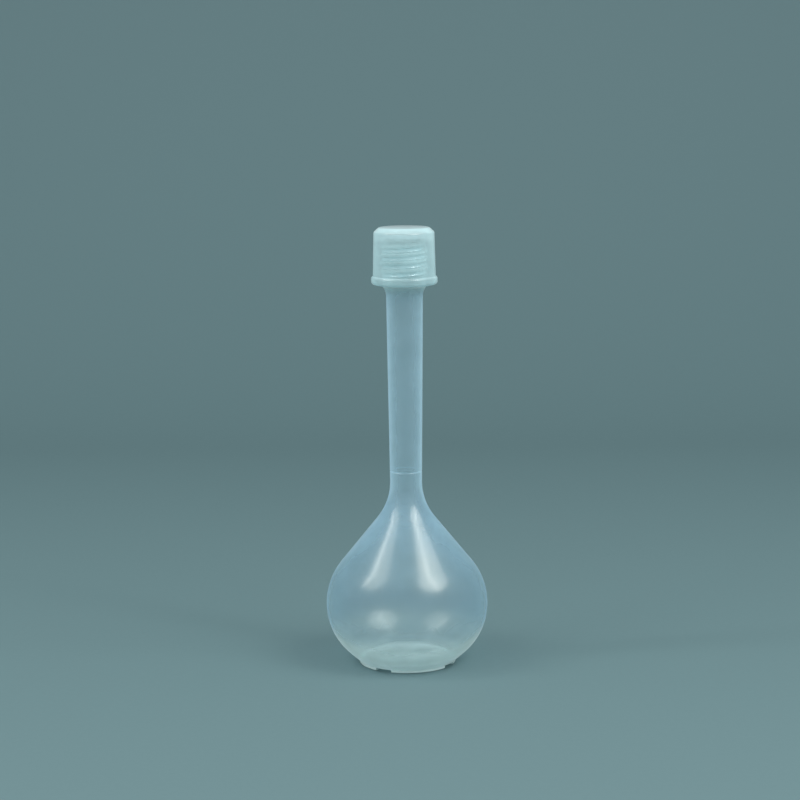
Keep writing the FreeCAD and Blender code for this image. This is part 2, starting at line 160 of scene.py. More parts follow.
class FlaskFinishes(bpy.types.PropertyGroup):
    """Colours and cloudiness of the plastics."""

    flask_colour: colour("Flask milk", "Light scattered by the flask's clear walls", (0.50, 0.79, 1.0))
    cap_colour: colour("Cap milk", "Light scattered by the cap", (0.64, 0.93, 1.0))
    thick_colour: colour("Thick milk", "Light scattered by a thick, cloudy wall", (0.80, 0.96, 0.94))
    foot_haze: share("Foot haze", "Cloudiness of the foot ring", 0.95)
    base_haze: share("Base haze", "Cloudiness of the base's underside", 0.50)
    floor_haze: share("Floor haze", "Cloudiness of the base's inside", 0.42)
    slope_haze: share("Slope haze", "Cloudiness of the bulb's side above the foot", 0.24)
    bulb_haze: share("Bulb haze", "Cloudiness of the thin wall at the bulb's widest ring", 0.11)
    shoulder_haze: share("Shoulder haze", "Cloudiness of the thick wall at the top of the shoulder", 0.25)
    neck_haze: share("Neck haze", "Cloudiness of the neck", 0.24)
    mark_haze: share("Mark haze", "Cloudiness that the ring mark adds", 0.12)
    mouth_haze: share("Mouth haze", "Cloudiness of the mouth between the turns of its thread", 0.45)
    ridge_haze: share("Ridge haze", "Cloudiness of the thread's crests", 0.95)
    cap_haze: share("Cap haze", "Cloudiness of the cap's side", 0.40)
    bore_haze: share("Bore haze", "Cloudiness of the cap's bore between the turns of its thread", 0.10)
    cap_top_haze: share("Cap top haze", "Cloudiness of the cap's thick top", 0.56)
    lining_share: share("Lining", "Cloudiness of the walls' inside, as a share of the outside's", 0.35)
    gloss: share("Gloss", "Roughness of the outside", 0.19)
    lining_gloss: share("Lining gloss", "Roughness of the flask's inside", 0.34)
    bore_gloss: share("Bore gloss", "Roughness of the cap's inside", 0.12)
    waviness: share("Waviness", "Unevenness of the moulded walls", 0.16)
    bore_waviness: share("Bore waviness", "Unevenness of the cap's inside", 0.02)
    # The lining tint paints warm light into the lamps' reflections inside the flask; the lamps themselves
    # are near white.
    lining_painted_warmth: colour("Lining tint", "Colour of the inside's gloss", (1.0, 0.91, 0.66))
    disc_colour: colour("Disc", "Colour of the sealing disc", (0.80, 0.88, 0.89))


class FlaskStageSizes(bpy.types.PropertyGroup):
    """The floor, the backdrop and the camera."""

    floor_colour: colour("Floor", "Colour of the floor and the backdrop", (0.145, 0.235, 0.25))
    floor_gap: length("Floor gap", "Gap that keeps the floor's surface apart from the foot's", 0.0001)
    floor_front: length("Floor front", "Length of the floor towards the camera", 2.5)
    floor_back: length("Floor back", "Length of the floor behind the flask", 0.45)
    sweep_radius: length("Sweep", "Radius of the curve from the floor to the backdrop", 0.50)
    backdrop_height: length("Backdrop", "Height of the backdrop", 2.5)
    camera_distance: length("Camera distance", "Distance of the camera from the flask's axis", 0.800)
    camera_height: length("Camera height", "Height of the camera above the floor", 0.2294)
    camera_offset: length("Camera offset", "Shift of the camera to the left of the axis", 0.0020)
    camera_pitch: angle("Camera pitch", "Tilt of the camera below level", 9.16)
    camera_roll: angle("Camera roll", "Turn of the camera about its own axis", -0.51)
    camera_lens: FloatProperty(name="Lens", description="Focal length", default=97.5, unit="CAMERA")


# Fineness of the meshes.
RING_SEGMENTS = 160
RIDGE_STEPS = 96
BULB_STEPS = 20
SHOULDER_STEPS = 14
NECK_FILLET_STEPS = 14
SMALL_ARC_STEPS = 8
ROUNDING_SEGMENTS = 3
NOTCH_SEGMENTS = 2
SWEEP_SEGMENTS = 24
SMOOTH_ANGLE = math.radians(32)

# Shares and limits in the pieces' shapes.
RING_SLACK = 0.05  # Of a rounding's width, within which an edge lies on a ring
SUNK_SHARE = 0.4  # Of a ridge's depth, sunk in the wall
NOTCH_REACH = 3  # Length of a notch's cutter, in widths of the foot ring
DISC_ROUNDING = 1 / 6  # Rounding of the disc's edges, as a share of its thickness
LEVEL_NORMAL = 0.99  # Least upward part of the normal of a level face

# Unevenness of the plastics. Sizes are in metres, and spreads are shares of what they vary.
CLOUD_SIZE = 0.009
CLOUD_DETAIL = 2.0
CLOUD_SPREAD = 0.4
PATCH_SIZE = 0.012
PATCH_SPREAD = 1.0
GRAIN_SIZE = 0.0012
GRAIN_DETAIL = 4.0
GRAIN_SHARE = 0.1
WAVE_HEIGHT = 0.0004
GLOSS_SPREAD = 0.2

# Light that the plastics pass, scatter and mirror.
WHITE = (1.0, 1.0, 1.0)
CLEAR_TINT = (0.972, 0.988, 1.0)
REFRACTION = 1.35
MILK_ROUGHNESS = 0.5
SHEEN = 1.0
SHEEN_ROUGHNESS = 0.25
LEAST_FACING = 0.06  # Keeps the way through a wall finite where it is seen edge-on
PASSED_IN_CLEAR = 0.5
PASSED_IN_MILK = 0.05
MIRRORED = 0.04
MIRRORED_INSIDE = 0.05
MIRRORED_IN_BORE = 0.2
MIRRORED_EDGE_ON = 0.35
MIRROR_POWER = 5

# Whiteness is the share of the thick wall's colour, and slant how fast milk grows towards edge-on.
SHOULDER_WHITENESS = 0.1
NECK_WHITENESS = 0.35
CAP_WHITENESS = 0.4
BULB_SLANT = 1.0
NECK_SLANT = 2.2
CAP_SLANT = 1.5
LINING_SLANT = 0

# Levels at which the flask's milk changes, as shares of the height of the bulb's widest ring.
LINING_SLOPE_LEVEL = 0.2
SLOPE_LEVEL = 0.25
THICK_LEVEL = 0.4
BULB_LOW_LEVEL = 0.8
BULB_HIGH_LEVEL = 1.1

# The other levels and places at which the milk changes.
SHOULDER_LEVEL = 0.78  # Of the ring mark's height
NECK_LEVEL = 0.94  # Of the ring mark's height
FLARE_LEVEL = 0.5  # Of the flare's height, above the neck
MOUTH_LEVEL = 1.5  # Of the flare's height, above the neck
BASE_LEVEL = 0.85  # Of the base's recess
FLOOR_LEVEL = 1.02  # Of the height of the base's inside
FLOOR_EDGE = 1.1  # Of the foot ring's inside radius
FLOOR_MIDDLE = 0.65  # Of the foot ring's inside radius
CAP_SIDE_LEVEL = 1.5  # Of the top plate's thickness, below the plate
CAP_TOP_LEVEL = 0.5  # Of the top plate's thickness, below the plate
CREST_START = 0.4  # Of a ridge's depth, from its root

# The disc's sheet and the floor's paper.
SHEET_GRAIN = 0.0008
SHEET_SHADE = 0.94
SHEET_BUMP = 0.1
SHEET_BUMP_HEIGHT = 0.0001
PAPER_ROUGHNESS = 0.65
FIBRE_SIZE = 0.002
FIBRE_SHARE = 0.1


# Modelling with operators

def arc(centre, radius, start, end, steps):
    """Points of an arc in a profile, as (radius, height), without its first point."""
    turns = [start + (end - start) * step / steps for step in range(1, steps + 1)]
    return [(centre[0] + radius * math.cos(turn), centre[1] + radius * math.sin(turn)) for turn in turns]


def leave_edit_mode():
    """Leave edit mode, and put the piece's place into its mesh."""
    bpy.ops.object.mode_set(mode="OBJECT")
    bpy.ops.object.transform_apply(location=True, rotation=True, scale=True)
    return bpy.context.object


def take_up(piece):
    """Make one piece the only one that operators reach."""
    bpy.ops.object.select_all(action="DESELECT")
    piece.select_set(True)
    bpy.context.view_layer.objects.active = piece


def pick(kind, test):
    """In edit mode, select the vertices, edges or faces that pass a test."""
    bpy.ops.mesh.select_mode(type=kind)
    bpy.ops.mesh.select_all(action="DESELECT")
    mesh = bmesh.from_edit_mesh(bpy.context.object.data)
    for part in {"VERT": mesh.verts, "EDGE": mesh.edges, "FACE": mesh.faces}[kind]:
        part.select_set(test(part))
    mesh.select_flush_mode()
    bmesh.update_edit_mesh(bpy.context.object.data)


def turn_profile(name, profile):
    """A closed turned piece, drawn up ring by ring and closed at its first ring and its last."""
    bpy.ops.object.select_all(action="DESELECT")
    (radius, height), *rings = profile
    bpy.ops.mesh.primitive_circle_add(
        vertices=RING_SEGMENTS, radius=radius, fill_type="NGON", location=(0, 0, height),
        enter_editmode=True)
    bpy.context.object.name = name
    for next_radius, next_height in rings:
        bpy.ops.mesh.extrude_edges_move(TRANSFORM_OT_translate={"value": (0, 0, next_height - height)})
        scale = next_radius / radius
        bpy.ops.transform.resize(value=(scale, scale, 1), center_override=(0, 0, next_height))
        radius, height = next_radius, next_height
    bpy.ops.mesh.edge_face_add()
    bpy.ops.mesh.select_all(action="SELECT")
    bpy.ops.mesh.normals_make_consistent(inside=False)
    return leave_edit_mode()


def round_rings(piece, rings, width):
    """Round the edges of a turned piece that lie on the given (radius, height) rings."""
    slack = RING_SLACK * width

    def on_a_ring(edge):
        places = [(math.hypot(point.co.x, point.co.y), point.co.z) for point in edge.verts]
        return any(all(math.dist(place, ring) < slack for place in places) for ring in rings)

    take_up(piece)
    bpy.ops.object.mode_set(mode="EDIT")
    pick("EDGE", on_a_ring)
    bpy.ops.mesh.bevel(offset=width, segments=ROUNDING_SEGMENTS, affect="EDGES")
    leave_edit_mode()


def apply_boolean(piece, tool, operation):
    """Add a tool's shape to a piece or cut it away, and remove the tool."""
    take_up(piece)
    modifier = piece.modifiers.new(tool.name, "BOOLEAN")
    modifier.operation = operation
    modifier.object = tool
    modifier.solver = "EXACT"
    bpy.ops.object.modifier_apply(modifier=modifier.name)
    bpy.data.objects.remove(tool)


def shade_smooth(piece):
    """Shade a piece smooth, apart from its sharp edges."""
    take_up(piece)
    bpy.ops.object.shade_smooth_by_angle(angle=SMOOTH_ANGLE)


def fade_end(corners, height, fade, run_out):
    """Draw one end of a ridge towards the wall that it stands on."""
    pick("VERT", lambda point: point.index in corners)
    bpy.ops.transform.resize(
        value=(fade, fade, 1), center_override=(0, 0, height), use_proportional_edit=True,
        use_proportional_connected=True, proportional_edit_falloff="SMOOTH", proportional_size=run_out)


def wind_ridge(name, root, crest, height, thread, fade):
    """A helical ridge with a rounded crest that starts at the back, its root sunk in the wall."""
    bpy.ops.object.select_all(action="DESELECT")
    sunk = (1 + SUNK_SHARE) * (root - crest)
    flare = 1 + SUNK_SHARE * (1 - thread.crest_width / thread.root_width)
    foot_width = thread.root_width * flare
    bpy.ops.mesh.primitive_plane_add(
        size=1, location=(0, crest + sunk / 2, height), rotation=(0, QUARTER_TURN, 0),
        enter_editmode=True)
    bpy.context.object.name = name
    bpy.ops.transform.resize(value=(1, abs(sunk), foot_width))
    pick("VERT", lambda point: (point.co.y > 0) == (crest > root))
    bpy.ops.transform.resize(value=(1, 1, thread.crest_width / foot_width))
    bpy.ops.mesh.bevel(offset=thread.crest_round, segments=ROUNDING_SEGMENTS, affect="VERTICES")
    ridge = leave_edit_mode()
    corners = len(ridge.data.vertices)
    screw = ridge.modifiers.new("Wind", "SCREW")
    screw.axis = "Z"
    screw.angle = FULL_TURN * thread.turns
    screw.screw_offset = thread.pitch * thread.turns
    screw.steps = screw.render_steps = round(RIDGE_STEPS * thread.turns)
    screw.use_merge_vertices = False
    bpy.ops.object.modifier_apply(modifier=screw.name)
    count = len(ridge.data.vertices)
    bpy.ops.object.mode_set(mode="EDIT")
    bpy.ops.mesh.select_all(action="SELECT")
    bpy.ops.mesh.fill_holes(sides=corners)
    bpy.ops.mesh.normals_make_consistent(inside=False)
    fade_end(range(corners), height, fade, thread.run_out)
    fade_end(range(count - corners, count), height + thread.pitch * thread.turns, fade, thread.run_out)
    return leave_edit_mode()


# Profiles and cutters of the pieces

def bulb_middle(size):
    """Height of the bulb's widest ring, set so that its lower curve flows into the foot's slope."""
    reach = (size.foot_radius - (size.bulb_radius - size.lower_radius)) * math.sin(size.foot_slope)
    return size.foot_lip + (size.lower_radius - reach) / math.cos(size.foot_slope)


def neck_radius_at(size, height):
    """Outside radius of the neck at a height."""
    return size.neck_radius + (height - size.neck_top) * math.tan(size.neck_draft)


def side_profile(size, neck_end, bulb_cut, neck_cut, start):
    """Rings of the flask's side, from an angle on the bulb's lower curve to the end of the neck.

    The cuts are the wall's thickness on the inside, and nothing on the outside."""
    cone, draft = size.cone_angle, size.neck_draft
    middle = bulb_middle(size)
    lower_centre = (size.bulb_radius - size.lower_radius, middle)
    shoulder_centre = (size.bulb_radius - size.shoulder_radius, middle)
    lower = arc(lower_centre, size.lower_radius - bulb_cut, start, 0, BULB_STEPS)
    shoulder = arc(shoulder_centre, size.shoulder_radius - bulb_cut, 0, cone, SHOULDER_STEPS)

    # The cone and the neck meet in a corner, which the neck fillet rounds off.
    cone_foot = shoulder[-1]
    fillet = size.neck_fillet + neck_cut
    spread = cone_foot[0] - neck_end[0] + (neck_end[1] - cone_foot[1]) * math.tan(draft)
    corner_rise = spread / (math.tan(cone) + math.tan(draft))
    corner = (cone_foot[0] - corner_rise * math.tan(cone), cone_foot[1] + corner_rise)
    reach = fillet * math.tan((cone + draft) / 2)
    fillet_foot = (corner[0] + reach * math.sin(cone), corner[1] - reach * math.cos(cone))
    fillet_centre = (fillet_foot[0] + fillet * math.cos(cone), fillet_foot[1] + fillet * math.sin(cone))
    bend = arc(fillet_centre, fillet, math.pi + cone, math.pi - draft, NECK_FILLET_STEPS)
    return lower + shoulder + [fillet_foot] + bend


def flask_profile(size):
    """Rings of the flask, from the edge of its underside, up its outside and down its inside."""
    foot_inner = size.foot_radius - size.foot_width
    lower_centre = size.bulb_radius - size.lower_radius
    slope_top = (
        lower_centre + size.lower_radius * math.sin(size.foot_slope),
        bulb_middle(size) - size.lower_radius * math.cos(size.foot_slope),
    )
    foot = [(foot_inner, size.foot_recess), (foot_inner, 0), (size.foot_radius, 0)]
    foot += [(size.foot_radius, size.foot_lip), slope_top]
    bulb_start = size.foot_slope - QUARTER_TURN
    outside = side_profile(size, (size.neck_radius, size.neck_top), 0, 0, bulb_start)

    half = size.mark_width / 2
    mark = []
    for step, depth in ((-half, 0), (0, size.mark_depth), (half, 0)):
        height = size.mark_height + step
        mark.append((neck_radius_at(size, height) - depth, height))

    step_out = size.mouth_radius - size.neck_radius
    flare = (size.flare_height ** 2 + step_out ** 2) / (2 * step_out)
    flare_centre = (size.neck_radius + flare, size.neck_top)
    flare_end = math.pi - math.asin(size.flare_height / flare)
    bore = neck_radius_at(size, size.rim_height) - size.neck_wall
    mouth = [(size.neck_radius, size.neck_top)]
    mouth += arc(flare_centre, flare, math.pi, flare_end, SMALL_ARC_STEPS)
    mouth += [(size.mouth_radius, size.rim_height), (bore, size.rim_height)]

    # Inside, the base is flat and a fillet leads from it to the bulb's wall.
    floor = size.foot_recess + size.base_wall
    side = size.lower_radius - size.bulb_wall
    drop = bulb_middle(size) - floor - size.base_fillet
    reach = math.sqrt((side - size.base_fillet) ** 2 - drop ** 2)
    fillet_centre = (lower_centre + reach, floor + size.base_fillet)
    fillet_end = -math.atan2(drop, reach)
    inside = [(fillet_centre[0], floor)]
    inside += arc(fillet_centre, size.base_fillet, -QUARTER_TURN, fillet_end, SMALL_ARC_STEPS)
    inside += side_profile(size, (bore, size.rim_height), size.bulb_wall, size.neck_wall, fillet_end)
    return foot + outside + mark + mouth + inside[::-1]


def notch_cutter(size):
    """Blocks that cut the drain notches across the foot ring."""
    bpy.ops.object.select_all(action="DESELECT")
    turn = Matrix.Rotation(size.notch_angle, 3, "Z")
    middle = turn @ Vector((size.foot_radius - size.foot_width / 2, 0, 0))
    across = (NOTCH_REACH * size.foot_width, size.notch_width, 2 * size.notch_depth)
    bpy.ops.mesh.primitive_cube_add(
        size=1, location=middle, rotation=(0, 0, size.notch_angle), scale=across)
    bpy.context.object.name = "notches"
    bpy.ops.object.transform_apply(location=True, rotation=True, scale=True)
    bpy.ops.object.mode_set(mode="EDIT")
    bpy.ops.mesh.select_all(action="SELECT")
    bpy.ops.mesh.bevel(offset=size.edge_round, segments=NOTCH_SEGMENTS, affect="EDGES")
    bpy.ops.mesh.select_all(action="SELECT")
    copies = size.notch_count - 1
    bpy.ops.mesh.spin(
        steps=copies, dupli=True, angle=FULL_TURN * copies / size.notch_count,
        use_auto_merge=False, center=(0, 0, 0), axis=(0, 0, 1))
    return leave_edit_mode()


def cap_profile(size):
    """Rings of the cap, from the edge of its flat top, down its outside and up its bore."""
    shoulder = size.bore_radius + size.wall
    skirt = shoulder + size.taper
    flange_top = size.foot_height + size.flange_height
    round_centre = (size.flange_radius - size.flange_round, size.foot_height + size.flange_round)
    outside = [
        (shoulder - size.bevel_width, size.top_height),
        (shoulder, size.top_height - size.bevel_height),
        (skirt, flange_top),
        (size.flange_radius, flange_top - size.flange_slope),
        (size.flange_radius, round_centre[1]),
    ]
    rounding = arc(round_centre, size.flange_round, 0, -QUARTER_TURN, SMALL_ARC_STEPS)
    bore = [
        (size.bore_radius + size.lead, size.foot_height),
        (size.bore_radius, size.foot_height + size.lead),
        (size.bore_radius, size.top_height - size.plate),
    ]
    return outside + rounding + bore


# Materials

class Value:
    """A shader socket in an expression: arithmetic on it adds Math nodes to its node tree."""

    def __init__(self, socket):
        self.socket = socket

    def combine(self, operation, first, second):
        node = self.socket.id_data.nodes.new("ShaderNodeMath")
        node.operation = operation
        feed(node.inputs[0], first)
        feed(node.inputs[1], second)
        return Value(node.outputs[0])

    def __add__(self, other):
        return self.combine("ADD", self, other)

    def __radd__(self, other):
        return self.combine("ADD", other, self)

    def __sub__(self, other):
        return self.combine("SUBTRACT", self, other)

    def __rsub__(self, other):
        return self.combine("SUBTRACT", other, self)

    def __mul__(self, other):
        return self.combine("MULTIPLY", self, other)

    def __rmul__(self, other):
        return self.combine("MULTIPLY", other, self)

    def __pow__(self, other):
        return self.combine("POWER", self, other)

    def __rpow__(self, other):
        return self.combine("POWER", other, self)


def feed(slot, term):
    """Link a value to an input, or set the input to a plain number or colour."""
    if isinstance(term, Value):
        slot.id_data.links.new(term.socket, slot)
    else:
        slot.default_value = term


class Recipe:
    """The nodes of a material or a world in the making."""

    def __init__(self, block):
        self.block = block
        block.use_nodes = True
        block.node_tree.nodes.clear()

    def node(self, kind, settings, sockets, output=0):
        """Add a node, set it up and feed its inputs, and give one of its outputs as a value."""
        node = self.block.node_tree.nodes.new(kind)
        for name, setting in settings.items():
            setattr(node, name, setting)
        for name, term in sockets.items():
            feed(node.inputs[name], term)
        return Value(node.outputs[output]) if node.outputs else None

    def finish(self, shader, output="ShaderNodeOutputMaterial"):
        self.node(output, {}, {"Surface": shader})
        return self.block


def opaque(rgb):
    """A colour with the alpha that a colour socket takes."""
    return (*rgb, 1.0)


def smoothstep(recipe, value, low, high):
    """A value's smooth rise from 0 at low to 1 at high."""
    return recipe.node(
        "ShaderNodeMapRange", {"interpolation_type": "SMOOTHSTEP"},
        {"Value": value, "From Min": low, "From Max": high})


def mottle(recipe, place, grain, detail=CLOUD_DETAIL):
    """Soft clouds of a given size, from 0 to 1."""
    return recipe.node("ShaderNodeTexNoise", {}, {"Vector": place, "Scale": 1 / grain, "Detail": detail})


def uneven(clouds, spread):
    """A number round 1 that clouds raise and lower by a share of it."""
    return 1 - spread + 2 * spread * clouds


def blend(recipe, amount, first, second):
    """A colour on the way from one to another."""
    return recipe.node(
        "ShaderNodeMix", {"data_type": "RGBA"}, {0: amount, 6: opaque(first), 7: opaque(second)}, 2)


def by_height(recipe, height, stops):
    """A number that goes smoothly from stop to stop, each a height and the number there."""
    number = stops[0][1]
    for (low, before), (high, after) in zip(stops, stops[1:]):
        number = number + (after - before) * smoothstep(recipe, height, low, high)
    return number


def from_axis(recipe, place):
    """Distance of a place from the flask's axis."""
    level = recipe.node("ShaderNodeVectorMath", {"operation": "MULTIPLY"}, {0: place, 1: (1, 1, 0)})
    return recipe.node("ShaderNodeVectorMath", {"operation": "LENGTH"}, {0: level}, "Value")


Shine = collections.namedtuple("Shine", "tint roughness mirrored waviness")
Wall = collections.namedtuple("Wall", "haze whiteness slant")


def milky_plastic(name, thin_colour, thick_colour, shine, wall_at):
    """Clear plastic with a milkiness that has one colour in a thin wall and another in a thick one.

    wall_at gives the wall at a place, from the place and its height: its cloudiness, its share of the
    thick wall's colour, and how fast its milk grows as it turns edge-on."""
    recipe = Recipe(bpy.data.materials.new(name))
    place = recipe.node("ShaderNodeTexCoord", {}, {}, "Object")
    height = recipe.node("ShaderNodeSeparateXYZ", {}, {"Vector": place}, "Z")
    clouds = mottle(recipe, place, CLOUD_SIZE)
    grain = mottle(recipe, place, GRAIN_SIZE, GRAIN_DETAIL)
    edge_on = recipe.node("ShaderNodeLayerWeight", {}, {}, "Facing")
    waves = recipe.node(
        "ShaderNodeBump", {},
        {"Strength": shine.waviness, "Distance": WAVE_HEIGHT, "Height": clouds + GRAIN_SHARE * grain})

    wall = wall_at(recipe, place, height)
    haze = wall.haze * uneven(clouds, CLOUD_SPREAD)
    # A wall that is seen at a slant shows more of its milk, because the way through it is longer.
    cloudiness = 1 - (1 - haze) ** ((1 + LEAST_FACING - edge_on) ** (-1 * wall.slant))

    whiteness = wall.whiteness + GRAIN_SHARE * grain
    scattered = recipe.node(
        "ShaderNodeBsdfPrincipled", {},
        {"Base Color": blend(recipe, whiteness, thin_colour, thick_colour),
         "Roughness": MILK_ROUGHNESS + GRAIN_SHARE * grain, "IOR": REFRACTION, "Normal": waves,
         "Sheen Weight": SHEEN, "Sheen Roughness": SHEEN_ROUGHNESS})
    thin_passed = recipe.node("ShaderNodeBsdfTranslucent", {}, {"Color": opaque(thin_colour)})
    thick_passed = recipe.node("ShaderNodeBsdfTranslucent", {}, {"Color": opaque(thick_colour)})
    passed = recipe.node("ShaderNodeMixShader", {}, {0: whiteness, 1: thin_passed, 2: thick_passed})
    passed_share = PASSED_IN_CLEAR + (PASSED_IN_MILK - PASSED_IN_CLEAR) * haze
    cloudy = recipe.node("ShaderNodeMixShader", {}, {0: passed_share, 1: scattered, 2: passed})
    clear = recipe.node("ShaderNodeBsdfTransparent", {}, {"Color": opaque(CLEAR_TINT)})
    body = recipe.node("ShaderNodeMixShader", {}, {0: cloudiness, 1: clear, 2: cloudy})
    glossy = recipe.node(
        "ShaderNodeBsdfGlossy", {},
        {"Color": opaque(shine.tint), "Roughness": shine.roughness * uneven(clouds, GLOSS_SPREAD),
         "Normal": waves})
    mirrored = shine.mirrored + (MIRRORED_EDGE_ON - shine.mirrored) * edge_on ** MIRROR_POWER
    return recipe.finish(recipe.node("ShaderNodeMixShader", {}, {0: mirrored, 1: body, 2: glossy}))


def on_crest(recipe, place, root, crest):
    """A number that rises to 1 on the crest of a ridge, between the radii of its root and its crest."""
    start = root + CREST_START * (crest - root)
    return smoothstep(recipe, from_axis(recipe, place), start, crest)


def vessel_materials(size, thread, finish):
    """The flask's skin and lining: clear round the bulb, cloudier at the base and towards the mouth."""
    middle = bulb_middle(size)
    floor = size.foot_recess + size.base_wall
    foot_inner = size.foot_radius - size.foot_width
    bulb_low = BULB_LOW_LEVEL * middle
    bulb_high = BULB_HIGH_LEVEL * middle
    shoulder_top = SHOULDER_LEVEL * size.mark_height
    neck_foot = NECK_LEVEL * size.mark_height
    flare_middle = size.neck_top + FLARE_LEVEL * size.flare_height
    mouth_foot = size.neck_top + MOUTH_LEVEL * size.flare_height
    wall_stops = (
        (bulb_low, finish.bulb_haze),
        (bulb_high, finish.bulb_haze),
        (shoulder_top, finish.shoulder_haze),
        (neck_foot, finish.neck_haze),
        (flare_middle, finish.neck_haze),
    )
    white_stops = (
        (THICK_LEVEL * middle, 1.0),
        (bulb_low, 0.0),
        (shoulder_top, SHOULDER_WHITENESS),
        (neck_foot, NECK_WHITENESS),
        (size.neck_top, NECK_WHITENESS),
        (mouth_foot, 1.0),
    )
    slant_stops = ((shoulder_top, BULB_SLANT), (neck_foot, NECK_SLANT))

    def skin_at(recipe, place, height):
        crest = on_crest(recipe, place, size.mouth_radius, size.mouth_radius + thread.depth)
        mouth_haze = finish.mouth_haze + (finish.ridge_haze - finish.mouth_haze) * crest
        stops = (
            (size.foot_lip, finish.foot_haze),
            (BASE_LEVEL * size.foot_recess, finish.base_haze),
            (SLOPE_LEVEL * middle, finish.slope_haze),
            *wall_stops,
            (mouth_foot, mouth_haze),
        )
        above_mark = height - size.mark_height
        off_mark = recipe.node("ShaderNodeMath", {"operation": "ABSOLUTE"}, {0: above_mark})
        in_mark = smoothstep(recipe, off_mark, size.mark_width, size.mark_width / 2)
        haze = by_height(recipe, height, stops) + finish.mark_haze * in_mark
        return Wall(haze, by_height(recipe, height, white_stops), by_height(recipe, height, slant_stops))

    def lining_at(recipe, place, height):
        radius = from_axis(recipe, place)
        in_floor = smoothstep(recipe, radius, FLOOR_EDGE * foot_inner, FLOOR_MIDDLE * foot_inner)
        patches = uneven(mottle(recipe, place, PATCH_SIZE), PATCH_SPREAD)
        stops = (
            (FLOOR_LEVEL * floor, finish.floor_haze * patches * in_floor),
            (LINING_SLOPE_LEVEL * middle, finish.lining_share * finish.slope_haze),
            *((level, finish.lining_share * haze) for level, haze in wall_stops),
        )
        haze = by_height(recipe, height, stops)
        return Wall(haze, by_height(recipe, height, white_stops), LINING_SLANT)

    thin, thick = finish.flask_colour, finish.thick_colour
    outer_shine = Shine(WHITE, finish.gloss, MIRRORED, finish.waviness)
    # The lining tint gives the lamps' reflections inside the flask a painted warmth.
    inner_shine = Shine(finish.lining_painted_warmth, finish.lining_gloss, MIRRORED_INSIDE, finish.waviness)
    skin = milky_plastic("milky_flask", thin, thick, outer_shine, skin_at)
    lining = milky_plastic("milky_flask_lining", thin, thick, inner_shine, lining_at)
    return skin, lining


def cap_materials(size, thread, finish):
    """The cap's skin and lining: the same plastic, cloudier in its thick top."""
    plate_foot = size.top_height - size.plate

    def skin_at(recipe, place, height):
        stops = (
            (plate_foot - CAP_SIDE_LEVEL * size.plate, finish.cap_haze),
            (plate_foot - CAP_TOP_LEVEL * size.plate, finish.cap_top_haze),
        )
        return Wall(by_height(recipe, height, stops), CAP_WHITENESS, CAP_SLANT)

    def bore_at(recipe, place, height):
        crest = on_crest(recipe, place, size.bore_radius, size.bore_radius - thread.depth)
        haze = finish.bore_haze + (finish.ridge_haze - finish.bore_haze) * crest
        return Wall(haze, CAP_WHITENESS, LINING_SLANT)

    thin, thick = finish.cap_colour, finish.thick_colour
    outer_shine = Shine(WHITE, finish.gloss, MIRRORED, finish.waviness)
    bore_shine = Shine(WHITE, finish.bore_gloss, MIRRORED_IN_BORE, finish.bore_waviness)
    skin = milky_plastic("milky_cap", thin, thick, outer_shine, skin_at)
    lining = milky_plastic("milky_cap_bore", thin, thick, bore_shine, bore_at)
    return skin, lining


def disc_material(finish):
    """A matt white sheet."""
    recipe = Recipe(bpy.data.materials.new("white_sheet"))
    place = recipe.node("ShaderNodeTexCoord", {}, {}, "Object")
    grain = mottle(recipe, place, SHEET_GRAIN, GRAIN_DETAIL)
    shade = [SHEET_SHADE * channel for channel in finish.disc_colour]
    bumps = recipe.node(
        "ShaderNodeBump", {},
        {"Strength": SHEET_BUMP, "Distance": SHEET_BUMP_HEIGHT, "Height": grain})
    return recipe.finish(recipe.node(
        "ShaderNodeBsdfPrincipled", {},
        {"Base Color": blend(recipe, grain, shade, finish.disc_colour),
         "Roughness": MILK_ROUGHNESS + GRAIN_SHARE * grain, "Normal": bumps}))


# Pieces

def dress(piece, skin, lining, is_inside):
    """Give a piece its skin, and the faces that pass a test the lining."""
    piece.data.materials.append(skin)
    piece.data.materials.append(lining)
    take_up(piece)
    bpy.ops.object.mode_set(mode="EDIT")
    pick("FACE", is_inside)
    piece.active_material_index = 1
    bpy.ops.object.material_slot_assign()
    leave_edit_mode()


def finish_piece(piece, body, node):
    """Let a piece stand for a node of the frame and move with its body."""
    shade_smooth(piece)
    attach(piece, body)
    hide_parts(node)


class FLASK_OT_make_vessel(bpy.types.Operator):
    """Model the flask: foot ring, bulb, neck with its ring mark, and threaded mouth"""

    bl_idname = "flask.make_vessel"
    bl_label = "Make Vessel"

    def execute(self, context):
        size, thread = context.scene.flask_vessel, context.scene.flask_thread
        vessel = turn_profile("vessel_wall", flask_profile(size))
        foot_inner = size.foot_radius - size.foot_width
        bore = neck_radius_at(size, size.rim_height) - size.neck_wall
        rings = [(foot_inner, 0), (size.foot_radius, 0), (foot_inner, size.foot_recess)]
        rings += [(size.mouth_radius, size.rim_height), (bore, size.rim_height)]
        round_rings(vessel, rings, size.edge_round)

        def is_inside(face):
            centre = face.calc_center_median()
            is_floor = face.normal.z > LEVEL_NORMAL and centre.z < bulb_middle(size)
            return centre.z > size.foot_recess and (is_floor or face.normal.xy.dot(centre.xy) < 0)

        dress(vessel, *vessel_materials(size, thread, context.scene.flask_finishes), is_inside)
        crest = size.mouth_radius + thread.depth
        start = thread.front_height - thread.pitch / 2
        fade = (size.mouth_radius - size.edge_round) / crest
        ridge = wind_ridge("mouth_ridge", size.mouth_radius, crest, start, thread, fade)
        apply_boolean(vessel, ridge, "UNION")
        apply_boolean(vessel, notch_cutter(size), "DIFFERENCE")
        finish_piece(vessel, "vessel", "flask")
        return {"FINISHED"}


